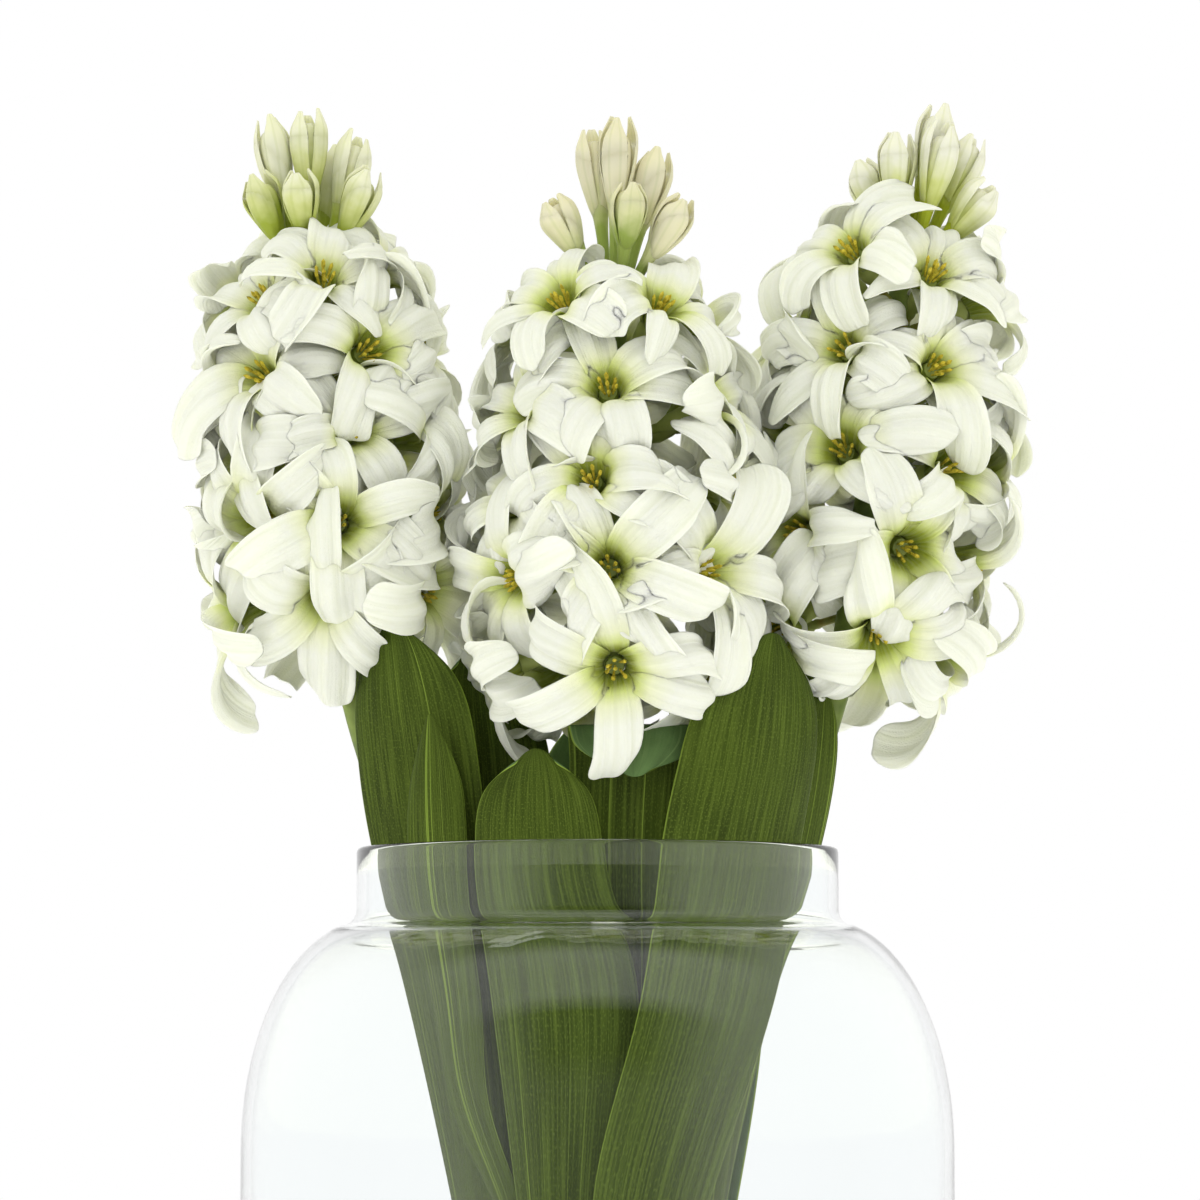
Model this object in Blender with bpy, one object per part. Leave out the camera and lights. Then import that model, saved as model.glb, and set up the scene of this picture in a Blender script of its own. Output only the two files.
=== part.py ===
"""Three stems of artificial hyacinth standing in a clear glass jar vase.

Lengths are in metres, +Z is up and the origin is the middle of the vase's foot.
The flowers are seen from -Y, so a front piece lies towards -Y.
"""
import math
from collections import namedtuple

import bmesh
import bpy
from mathutils import Matrix, Vector

MM = 0.001
GAP = 0.3 * MM                     # clearance where two pieces meet
MERGE = 0.001 * MM                 # points nearer than this are one point

# Vase: straight body, elliptical shoulder and a short upright collar
VASE_HEIGHT = 230 * MM
VASE_RADIUS = 88.5 * MM
VASE_WALL = 2.6 * MM
VASE_FLOOR = 6 * MM
HEEL_RADIUS = 12 * MM
NECK_RADIUS = 60 * MM
SHOULDER_HEIGHT = 155 * MM         # where the body starts to close
SHOULDER_RISE = 57 * MM
SHOULDER_CENTRE = 57 * MM          # radius at which the shoulder's ellipse is centred
RIM_BEAD = 0.8 * MM
VASE_SIDES = 40

# Stems
STEM_RADIUS = 3.6 * MM
STEM_TIP_RADIUS = 2.4 * MM
STEM_BENDS = 12                    # lengths in the bent part of a stem
STEM_RISES = 6                     # lengths in the straight part, the last one tapered

# Florets: a ring round the stem carries one tier of six-pointed bells
RING_WALL = 1.8 * MM
RING_HEIGHT = 6 * MM
RING_SIDES = 12
FLORET_LENGTH = 22 * MM            # from the ring to the mouth
FLORET_TUBE = 14 * MM
FLORET_THROAT = 16 * MM
FLORET_TIP = 20 * MM               # height at which the points end
FLORET_REACH = 11.5 * MM
FLORET_WAIST = 4.2 * MM
TUBE_RADII = (1.5 * MM, 3.0 * MM)
TIERS = ((5, -20), (6, -5), (6, 8), (6, 20), (5, 35))   # florets, degrees above level

# Buds: a thin stalk that swells into a pointed head
BUD_STALK_RADIUS = 1.2 * MM
BUD_HEAD_RADIUS = 4.3 * MM
BUD_SIDES = 8

# Leaves
LEAF_THICKNESS = 1.0 * MM
LEAF_BASE_WIDTH = 6 * MM
LEAF_BASE_CUP = 1 * MM
LEAF_CUP = 0.1                     # depth of the channel as a share of the width
LEAF_GRID = (4, 9)

# A plant's stem runs through the knots (x, y, z) in mm and leans in x above them.
# Its lowest floret tier opens at first, the others every pitch above it, and each
# tier's front floret faces the bearing in leads. Buds are (bearing, tilt, length,
# drop below the stem's tip); bearings and tilts are in degrees.
Plant = namedtuple("Plant", "name knots lean tip first pitch leads buds")
PLANTS = (
    Plant("left", ((-8, 5, 6.6), (-13, 6, 70), (-27, 8, 142), (-49, 9, 225), (-62.4, 6.5, 272)),
          -0.096, 378, 290, 20.3, (-90, -113, -100, -97, -126),
          ((90, 5, 39, 0), (-115, 7, 41, 2), (99, 20, 36, 2), (67, 31, 30, 5),
           (-73, 17, 29, 5), (-3, 14, 28, 5), (145, 16, 35, 4))),
    Plant("middle", ((0, -5, 6.6), (1, -6, 70), (2.5, -9, 142), (4, -13, 225), (4, -15.5, 272)),
          0.0, 372, 272, 22.0, (-60, -91, -90, -90, -90),
          ((180, 2, 39, 0), (-60, 10, 41, 2), (-160, 14, 35, 2), (114, 14, 28, 5),
           (9, 27, 27, 5), (165, 32, 28, 5))),
    Plant("right", ((9, 6, 6.6), (13, 7, 70), (25, 9, 142), (47, 10, 225), (60.7, 8, 272)),
          0.161, 381, 281, 23.5, (-93, -92, -86, -83, -82),
          ((-90, 4, 39, 0), (-152, 9, 38, 5), (-68, 17, 37, 2), (123, 8, 34, 5),
           (81, 28, 26, 2), (-106, 32, 29, 5))),
)

# A leaf leaves its stem at a height and bearing and then runs through knots of
# (x, y, z, width) in mm and the yaw of its width in degrees.
Leaf = namedtuple("Leaf", "name plant height bearing knots")
LEAVES = (
    Leaf("leaf_left_outer", "left", 56, 195,
         ((-26.5, -1, 100, 10, -60), (-30, -5, 142, 26, -50), (-37, -11, 190, 30, -38),
          (-42, -14, 230, 34, -32), (-48, -16, 257, 26, -30), (-50, -17, 267, 5, -30))),
    Leaf("leaf_left_small", "left", 99, 262,
         ((-17.5, -9, 118, 5, -30), (-22, -18, 140, 8, -35), (-32, -23, 168, 12, -35),
          (-36, -23, 195, 15, -35),
          (-40, -25, 230, 17, -30), (-41, -26, 253, 13, -28), (-41, -26, 261, 3, -28))),
    Leaf("leaf_left_inner", "left", 84, -20,
         ((-8.5, 0, 110, 8, 5), (-12, -3, 142, 20, -15), (-20, -4, 190, 28, -12),
          (-26, -5, 230, 32, -10), (-29, -4, 258, 24, -8), (-30, -3, 268, 4, -8))),
    Leaf("leaf_left_rear", "left", 70, 100,
         ((-21, 16, 104, 14, 200), (-27, 20, 142, 24, 212), (-32, 27, 190, 32, 215),
          (-36, 30, 230, 32, 215), (-39, 30, 252, 24, 215), (-40, 30, 262, 4, 215))),
    Leaf("leaf_middle_front", "middle", 48, -150,
         ((-8, -16, 100, 14, -20), (-8, -26, 142, 24, -8), (-8, -33, 190, 36, -4),
          (-14, -36, 225, 32, -2), (-16, -36, 243, 26, 0), (-16, -36, 251, 6, 0))),
    Leaf("leaf_middle_folded", "middle", 84, -90,
         ((2, -13, 104, 10, 0), (6, -19, 142, 20, 5), (9, -23, 190, 28, 5),
          (9, -26, 228, 30, 3), (11, -27, 248, 26, 0), (12, -28, 257, 8, 0))),
    Leaf("leaf_middle_broad", "middle", 58, -35,
         ((9, -21, 100, 14, 20), (14, -32, 142, 30, 18), (28, -32, 190, 38, 30),
          (34, -29, 228, 42, 36), (39, -28, 256, 34, 36), (42, -26, 268, 6, 36))),
    Leaf("leaf_middle_rear", "middle", 66, 90,
         ((1, 7, 100, 11, 180), (1, 18, 142, 24, 180), (0, 33, 190, 34, 180),
          (0, 40, 230, 32, 180), (1, 42, 256, 24, 180), (2, 42, 266, 4, 180))),
    Leaf("leaf_right_outer", "right", 58, -35,
         ((22, -1, 100, 13, 50), (28, -5, 142, 20, 50), (35, -9, 190, 24, 40),
          (44, -7, 230, 26, 35), (50, -6, 254, 20, 35), (52, -5, 262, 4, 35))),
    Leaf("leaf_right_inner", "right", 78, 200,
         ((11, 3, 104, 9, -80), (15, 0, 142, 17, -50), (17, -1, 190, 22, -15),
          (20, 2, 230, 24, -5), (22, 2, 252, 18, -5), (22, 2, 261, 4, -5))),
    Leaf("leaf_right_rear", "right", 66, 75,
         ((20, 17, 100, 14, 158), (26, 21, 142, 24, 148), (31, 28, 190, 32, 145),
          (33, 32, 230, 32, 145), (36, 33, 254, 24, 145), (37, 33, 264, 4, 145))),
)


def clear_scene():
    for item in list(bpy.data.objects):
        bpy.data.objects.remove(item, do_unlink=True)


def make_material(name, colour, roughness, transmission=0.0):
    material = bpy.data.materials.new(name)
    material.use_nodes = True
    shader = material.node_tree.nodes["Principled BSDF"]
    shader.inputs["Base Color"].default_value = (*colour, 1.0)
    shader.inputs["Roughness"].default_value = roughness
    shader.inputs["Metallic"].default_value = 0.0
    shader.inputs["Transmission Weight"].default_value = transmission
    return material


def make_object(name, mesh, material):
    """Turn a bmesh into a named, smooth-shaded object."""
    data = bpy.data.meshes.new(name)
    mesh.to_mesh(data)
    mesh.free()
    data.shade_smooth()
    data.set_sharp_from_angle(angle=math.radians(40))
    item = bpy.data.objects.new(name, data)
    item.data.materials.append(material)
    bpy.context.collection.objects.link(item)
    return item


def turned(profile, sides, closed=False):
    """Spin a profile of (radius, height) points round Z."""
    mesh = bmesh.new()
    points = [mesh.verts.new((radius, 0, height)) for radius, height in profile]
    edges = [mesh.edges.new(pair) for pair in zip(points, points[1:])]
    if closed:
        edges.append(mesh.edges.new((points[-1], points[0])))
    bmesh.ops.spin(mesh, geom=points + edges, cent=(0, 0, 0), axis=(0, 0, 1), dvec=(0, 0, 0),
                   angle=math.tau, steps=sides, use_merge=True)
    bmesh.ops.remove_doubles(mesh, verts=mesh.verts, dist=MERGE)
    bmesh.ops.recalc_face_normals(mesh, faces=mesh.faces)
    return mesh


def arc(centre, radii, start, stop, steps):
    """Points on an ellipse of radii (across, up) between two angles in degrees."""
    points = []
    for step in range(steps + 1):
        angle = math.radians(start + (stop - start) * step / steps)
        points.append((centre[0] + radii[0] * math.cos(angle), centre[1] + radii[1] * math.sin(angle)))
    return points


def shoulder(inset, neck, steps):
    """Shoulder curve from the body up to the neck, moved in by the wall."""
    across = VASE_RADIUS - SHOULDER_CENTRE - inset
    rise = SHOULDER_RISE - inset
    stop = math.degrees(math.acos((neck - SHOULDER_CENTRE) / across))
    return arc((SHOULDER_CENTRE, SHOULDER_HEIGHT), (across, rise), 0, stop, steps)


def vase_profile():
    """Section of the vase from the middle of its foot, up, over the rim and down inside."""
    neck_bore = NECK_RADIUS - VASE_WALL
    heel = (VASE_RADIUS - HEEL_RADIUS, HEEL_RADIUS)
    outside = [(0, 0)] + arc(heel, (HEEL_RADIUS, HEEL_RADIUS), -90, 0, 3)
    outside += shoulder(0, NECK_RADIUS, 7)
    rim = [
        (NECK_RADIUS, VASE_HEIGHT - RIM_BEAD),
        (NECK_RADIUS - RIM_BEAD, VASE_HEIGHT),
        (neck_bore + RIM_BEAD, VASE_HEIGHT),
        (neck_bore, VASE_HEIGHT - RIM_BEAD),
    ]
    inner_heel = HEEL_RADIUS - VASE_WALL
    inside = shoulder(VASE_WALL, neck_bore, 7)[::-1]
    inside += arc((heel[0], VASE_FLOOR + inner_heel), (inner_heel, inner_heel), 0, -90, 3)
    return outside + rim + inside + [(0, VASE_FLOOR)]


def through(knots, share):
    """Point of a Catmull-Rom curve through the knots, share running from 0 to 1."""
    span = share * (len(knots) - 1)
    index = min(int(span), len(knots) - 2)
    u = span - index
    before = knots[max(index - 1, 0)]
    after = knots[min(index + 2, len(knots) - 1)]
    point = []
    for a, b, c, d in zip(before, knots[index], knots[index + 1], after):
        point.append(0.5 * (2 * b + (c - a) * u + (2 * a - 5 * b + 4 * c - d) * u ** 2
                            + (3 * b - a - 3 * c + d) * u ** 3))
    return point


def on_spike(plant, height):
    """Point of a stem's straight upper part at a height in mm."""
    x, y, z = plant.knots[-1]
    return Vector((x + plant.lean * (height - z), y, height)) * MM


def stem_at(plant, height):
    """Point of a stem's lower, bent part at a height in mm."""
    low, high = 0.0, 1.0
    for _ in range(30):
        middle = (low + high) / 2
        if through(plant.knots, middle)[2] < height:
            low = middle
        else:
            high = middle
    return Vector(through(plant.knots, low)) * MM


def spike_frame(plant, height):
    """Matrix that stands Z along the spike at a height in mm."""
    turn = Vector((plant.lean, 0, 1)).to_track_quat("Z", "Y").to_matrix().to_4x4()
    return Matrix.Translation(on_spike(plant, height)) @ turn


def make_stem(plant, material):
    points = [Vector(through(plant.knots, step / STEM_BENDS)) * MM for step in range(STEM_BENDS)]
    base = plant.knots[-1][2]
    for step in range(STEM_RISES + 1):
        points.append(on_spike(plant, base + (plant.tip - base) * step / STEM_RISES))
    curve = bpy.data.curves.new("stem_" + plant.name, "CURVE")
    curve.dimensions = "3D"
    curve.bevel_depth = STEM_RADIUS
    curve.bevel_resolution = 2
    curve.use_fill_caps = True
    curve.materials.append(material)
    spline = curve.splines.new("POLY")
    spline.points.add(len(points) - 1)
    for node, point in zip(spline.points, points):
        node.co = (*point, 1)
    spline.points[-1].radius = STEM_TIP_RADIUS / STEM_RADIUS
    bpy.context.collection.objects.link(bpy.data.objects.new("stem_" + plant.name, curve))


def add_bell(mesh, place):
    """One floret along +Z of the place: a tube that opens into six points."""
    circle = bmesh.ops.create_circle(mesh, cap_ends=True, radius=TUBE_RADII[0], segments=12)
    face = circle["verts"][0].link_faces[0]
    base = list(circle["verts"])
    made = list(base)
    rings = (
        (FLORET_TUBE, FLORET_TUBE, TUBE_RADII[1], TUBE_RADII[1]),
        (FLORET_TIP, FLORET_LENGTH, FLORET_REACH, FLORET_WAIST),
    )
    for tip_height, waist_height, tip, waist in rings:
        face = bmesh.ops.extrude_discrete_faces(mesh, faces=[face])["faces"][0]
        for vertex in face.verts:
            angle = math.atan2(vertex.co.y, vertex.co.x)
            pointed = round(math.degrees(angle) / 30) % 2
            radius = tip if pointed else waist
            height = tip_height if pointed else waist_height
            vertex.co = (radius * math.cos(angle), radius * math.sin(angle), height)
            made.append(vertex)
    bmesh.ops.contextual_create(mesh, geom=base)
    throat = bmesh.ops.poke(mesh, faces=[face])["verts"]
    throat[0].co.z = FLORET_THROAT
    bmesh.ops.transform(mesh, matrix=place, verts=made + throat)


def make_tier(plant, tier, material, cutter_material):
    """Ring of florets round a stem; the bells are joined to the ring."""
    count, climb = TIERS[tier]
    mouth = plant.first + plant.pitch * tier
    collar = mouth - FLORET_LENGTH / MM * math.sin(math.radians(climb))
    frame = spike_frame(plant, collar)
    bore = (STEM_RADIUS + GAP) / math.cos(math.pi / RING_SIDES)
    rim = bore + RING_WALL
    half = RING_HEIGHT / 2
    ring = turned(((bore, -half), (rim, -half), (rim, half), (bore, half)), RING_SIDES, closed=True)
    name = "florets_%s_%d" % (plant.name, tier + 1)
    bmesh.ops.transform(ring, matrix=frame, verts=ring.verts)
    body = make_object(name, ring, material)
    lift = Matrix.Rotation(math.radians(90 - climb), 4, "Y")
    clear = 0.2 * MM + TUBE_RADII[0] * abs(math.sin(math.radians(climb)))
    outset = Matrix.Translation((STEM_RADIUS + GAP + clear, 0, 0))
    bells = bmesh.new()
    for number in range(count):
        bearing = math.radians(plant.leads[tier] + 360 * number / count)
        add_bell(bells, frame @ Matrix.Rotation(bearing, 4, "Z") @ outset @ lift)
    bmesh.ops.recalc_face_normals(bells, faces=bells.faces)
    cutter = make_object(name + "_bells", bells, cutter_material)
    cutter.hide_render = True
    cutter.display_type = "WIRE"
    union = body.modifiers.new("bells", "BOOLEAN")
    union.operation = "UNION"
    union.solver = "EXACT"
    union.object = cutter


def make_bud(plant, number, material):
    """Closed bud whose stalk starts just clear of the stem's side or tip."""
    bearing, tilt, length, drop = plant.buds[number]
    tilt = math.radians(tilt)
    length *= MM
    profile = [(0, 0), (BUD_STALK_RADIUS, 0)]
    for along, swell in ((0.42, 0.34), (0.6, 0.82), (0.76, 1.0), (0.92, 0.62)):
        profile.append((BUD_HEAD_RADIUS * swell, length * along))
    profile.append((0, length))
    bud = turned(profile, BUD_SIDES)
    taper = (plant.tip - plant.knots[-1][2]) / STEM_RISES
    stem = STEM_TIP_RADIUS + (STEM_RADIUS - STEM_TIP_RADIUS) * drop / taper
    if drop:
        out = stem + GAP + BUD_STALK_RADIUS * math.cos(tilt)
        rise = -drop * MM
    else:
        out = 0.0
        rise = GAP + BUD_STALK_RADIUS * abs(math.sin(tilt))
    turn = Matrix.Rotation(math.radians(bearing), 4, "Z")
    place = Matrix.Translation((out, 0, rise)) @ Matrix.Rotation(tilt, 4, "Y")
    bmesh.ops.transform(bud, matrix=spike_frame(plant, plant.tip) @ turn @ place, verts=bud.verts)
    make_object("bud_%s_%d" % (plant.name, number + 1), bud, material)


def make_leaf(leaf, material):
    """Channelled strip bent along the leaf's knots and given its thickness."""
    plant = next(plant for plant in PLANTS if plant.name == leaf.plant)
    start = stem_at(plant, leaf.height)
    bearing = math.radians(leaf.bearing)
    out = STEM_RADIUS + 2.5 * GAP + LEAF_THICKNESS / 2
    foot = start / MM + Vector((math.cos(bearing), math.sin(bearing), 0)) * out / MM
    first_yaw = leaf.knots[0][4]
    base_yaw = (leaf.bearing + 90 - first_yaw + 180) % 360 - 180 + first_yaw
    knots = ((*foot, LEAF_BASE_WIDTH / MM, base_yaw),) + leaf.knots
    across, along = LEAF_GRID
    mesh = bmesh.new()
    bmesh.ops.create_grid(mesh, x_segments=across, y_segments=along, size=0.5)
    for vertex in mesh.verts:
        side = vertex.co.x * 2
        share = vertex.co.y + 0.5
        x, y, z, width, yaw = through(knots, share)
        yaw = math.radians(yaw)
        cup = LEAF_CUP * width + LEAF_BASE_CUP / MM * (1 - share) ** 4
        reach = side * width / 2
        sink = cup * side ** 2
        vertex.co = Vector((x + reach * math.cos(yaw) - sink * math.sin(yaw),
                            y + reach * math.sin(yaw) + sink * math.cos(yaw), z)) * MM
    item = make_object(leaf.name, mesh, material)
    wall = item.modifiers.new("thickness", "SOLIDIFY")
    wall.thickness = LEAF_THICKNESS
    wall.offset = 0


def main():
    clear_scene()
    glass = make_material("clear_glass", (0.96, 0.98, 0.98), 0.02, transmission=1.0)
    make_object("vase", turned(vase_profile(), VASE_SIDES), glass)
    for plant in PLANTS:
        green = make_material("stem_%s_green" % plant.name, (0.19, 0.25, 0.05), 0.55)
        make_stem(plant, green)
        for tier in range(len(TIERS)):
            white = make_material("petal_%s_%d" % (plant.name, tier + 1), (0.9, 0.91, 0.87), 0.75)
            make_tier(plant, tier, white, white)
        for number in range(len(plant.buds)):
            pale = make_material("bud_%s_%d" % (plant.name, number + 1), (0.52, 0.6, 0.28), 0.55)
            make_bud(plant, number, pale)
    for leaf in LEAVES:
        make_leaf(leaf, make_material(leaf.name, (0.08, 0.16, 0.03), 0.5))


main()
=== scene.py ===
"""Three artificial hyacinth stems in a clear glass jar vase: the finished look.

The packed model is the frame. Each solid in it is replaced by a detailed piece
that stands in the same place. Lengths are in metres unless a name says mm.
"""
import math
import random
from collections import namedtuple

import bmesh
import bpy
from bpy.props import FloatProperty, FloatVectorProperty, IntProperty, PointerProperty
from mathutils import Matrix, Vector, noise


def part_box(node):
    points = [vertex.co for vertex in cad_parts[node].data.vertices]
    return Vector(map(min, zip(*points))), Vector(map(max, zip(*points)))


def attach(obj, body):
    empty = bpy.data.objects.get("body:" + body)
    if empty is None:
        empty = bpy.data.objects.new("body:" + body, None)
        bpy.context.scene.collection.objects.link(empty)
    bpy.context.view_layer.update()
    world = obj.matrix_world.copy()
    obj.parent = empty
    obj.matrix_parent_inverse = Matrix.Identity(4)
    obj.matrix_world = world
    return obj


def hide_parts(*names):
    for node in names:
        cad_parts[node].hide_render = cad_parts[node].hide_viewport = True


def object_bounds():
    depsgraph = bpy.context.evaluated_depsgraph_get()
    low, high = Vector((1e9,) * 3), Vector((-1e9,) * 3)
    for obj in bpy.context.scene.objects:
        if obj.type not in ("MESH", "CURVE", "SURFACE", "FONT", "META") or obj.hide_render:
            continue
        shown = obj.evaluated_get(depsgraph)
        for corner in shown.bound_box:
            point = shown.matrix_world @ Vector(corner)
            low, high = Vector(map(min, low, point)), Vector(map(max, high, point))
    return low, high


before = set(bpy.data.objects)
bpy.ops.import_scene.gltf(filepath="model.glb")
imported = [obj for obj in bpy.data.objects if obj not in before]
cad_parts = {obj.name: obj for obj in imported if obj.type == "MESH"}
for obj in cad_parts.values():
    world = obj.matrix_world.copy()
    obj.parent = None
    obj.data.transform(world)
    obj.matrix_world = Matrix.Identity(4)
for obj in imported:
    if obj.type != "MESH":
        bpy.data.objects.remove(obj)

CAD_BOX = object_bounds()
MM = 0.001

bl_info = {
    "name": "Hyacinth in a jar vase",
    "version": (1, 0, 0),
    "blender": (4, 5, 0),
    "location": "3D View > Sidebar > Hyacinth",
    "description": "Builds three artificial hyacinth stems standing in a glass jar",
    "category": "Object",
}


def linear(code):
    """Linear red, green and blue of an sRGB hex colour."""
    channels = []
    for start in (0, 2, 4):
        value = int(code[start:start + 2], 16) / 255
        channels.append(value / 12.92 if value <= 0.04045 else ((value + 0.055) / 1.055) ** 2.4)
    return tuple(channels)


def smooth(value):
    """Ease from 0 to 1."""
    value = min(max(value, 0.0), 1.0)
    return value * value * (3 - 2 * value)


# ---------------------------------------------------------------- settings

class HYACINTH_PG_flower(bpy.types.PropertyGroup):
    """Sizes and colours of the florets and buds."""
    petal_low: FloatProperty(
        name="Lowest petals", description="Length of a petal in the lowest tier",
        default=38.5 * MM, unit="LENGTH")
    petal_top: FloatProperty(
        name="Highest petals", description="Length of a petal in the highest tier",
        default=29 * MM, unit="LENGTH")
    petal_width: FloatProperty(
        name="Petal width", description="Widest part of a petal of middling length",
        default=12.9 * MM, unit="LENGTH")
    petal_cloth: FloatProperty(
        name="Petal cloth", description="Thickness of the petal cloth", default=0.3 * MM, unit="LENGTH")
    crease: FloatProperty(
        name="Crease", description="Depth of the creases pressed along a petal",
        default=1.0 * MM, unit="LENGTH")
    white: FloatVectorProperty(
        name="Petal white", description="Cloth of the open petal", subtype="COLOR",
        default=linear("F1F2EC"))
    cream: FloatVectorProperty(
        name="Petal cream", description="Cloth nearer the throat", subtype="COLOR",
        default=linear("ECEFD0"))
    throat: FloatVectorProperty(
        name="Throat green", description="Dye at the foot of the petals", subtype="COLOR",
        default=linear("88962F"))


class HYACINTH_PG_leaf(bpy.types.PropertyGroup):
    """Sizes and colours of the leaves."""
    cloth: FloatProperty(
        name="Leaf cloth", description="Thickness of the leaf cloth", default=0.6 * MM, unit="LENGTH")
    green: FloatVectorProperty(
        name="Leaf green", description="Ground colour of the print", subtype="COLOR",
        default=linear("3A490F"))
    vein: FloatVectorProperty(
        name="Vein green", description="Pale veins of the print", subtype="COLOR",
        default=linear("8CA443"))
    under: FloatVectorProperty(
        name="Underside green", description="Back of the cloth", subtype="COLOR",
        default=linear("5E7A4A"))


class HYACINTH_PG_vase(bpy.types.PropertyGroup):
    """Sizes of the jar."""
    wall: FloatProperty(
        name="Glass wall", description="Thickness of the jar's wall", default=2.6 * MM, unit="LENGTH")
    floor: FloatProperty(
        name="Glass floor", description="Thickness of the jar's foot", default=6 * MM, unit="LENGTH")
    sides: IntProperty(
        name="Sides", description="Faces round the jar", default=128, min=16)


class HYACINTH_PG_stage(bpy.types.PropertyGroup):
    """Camera and light."""
    distance: FloatProperty(
        name="Camera distance", description="From the camera to the jar's axis",
        default=1.5, unit="LENGTH")
    height: FloatProperty(
        name="Camera height", description="Above the surface that the jar stands on",
        default=0.1745, unit="LENGTH")
    aim: FloatProperty(
        name="Aim height", description="Height on the jar's axis that the camera looks at",
        default=0.292, unit="LENGTH")
    width: FloatProperty(
        name="View width", description="Width of the view at the jar's axis", default=0.3, unit="LENGTH")
    key: FloatProperty(
        name="Key light", description="Power of the large soft light at the upper left",
        default=3.3, unit="POWER")


SETTINGS = {
    "hyacinth_flower": HYACINTH_PG_flower,
    "hyacinth_leaf": HYACINTH_PG_leaf,
    "hyacinth_vase": HYACINTH_PG_vase,
    "hyacinth_stage": HYACINTH_PG_stage,
}


# ---------------------------------------------------------------- plan

# A stem runs through its knots (mm) and leans in x above the last of them. The
# lowest tier of florets opens at first, the next ones every pitch above it, and
# mouth is how far a floret's mouth stands from the stem's axis. The colours run
# from a bud's foot to its tip, and greens is how far the first climbs each bud.
Plant = namedtuple("Plant", "name knots lean tip first pitch mouth leads buds colours greens")

# florets in a tier, and how far they point above level in degrees
TIERS = ((5, -22), (6, -6), (6, 8), (6, 20), (5, 36))

# A bud is (bearing, tilt, length, drop below the tip); angles in degrees.
PLANTS = (
    Plant("left", ((-8, 5, 6.6), (-13, 6, 70), (-27, 8, 142), (-49, 9, 225), (-62.4, 6.5, 272)),
          -0.096, 378, 290, 20.3, 28.0, (-90, -113, -100, -97, -126),
          ((90, 5, 39, 0), (-115, 7, 41, 2), (99, 20, 36, 2), (67, 31, 30, 5),
           (-73, 17, 29, 5), (-3, 14, 28, 5), (145, 16, 35, 4)),
          ("9CAA3A", "CBD08F", "E8E8CF"), (0.0, -0.12, -0.15, 0.12, 0.25, 0.12, 0.0)),
    Plant("middle", ((0, -5, 6.6), (1, -6, 70), (2.5, -9, 142), (4, -13, 225), (4, -15.5, 272)),
          0.0, 372, 272, 22.0, 31.0, (-60, -91, -90, -90, -90),
          ((180, 2, 39, 0), (-60, 10, 41, 2), (-160, 14, 35, 2), (114, 14, 28, 5),
           (9, 27, 27, 5), (165, 32, 28, 5)),
          ("98AA55", "D3D3A6", "E3DDC2"), (-0.3, -0.1, -0.2, 0.2, -0.05, -0.22)),
    Plant("right", ((9, 6, 6.6), (13, 7, 70), (25, 9, 142), (47, 10, 225), (60.7, 8, 272)),
          0.161, 381, 281, 23.5, 29.0, (-93, -92, -86, -83, -82),
          ((-90, 4, 39, 0), (-152, 9, 38, 5), (-68, 17, 37, 2), (123, 8, 34, 5),
           (81, 28, 26, 2), (-106, 32, 29, 5)),
          ("A3AE22", "D0D68E", "ECEBDC"), (-0.15, 0.0, -0.02, 0.02, -0.05, 0.0)),
)

STEM_RADIUS = 3.4
STEM_TIP_RADIUS = 2.3
STEM_TAPER = 18                    # length of the tapered end
STEM_SIDES = 14
STEM_BENDS = 40                    # lengths in the bent part
STEM_RISES = 24                    # lengths in the straight part

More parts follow.
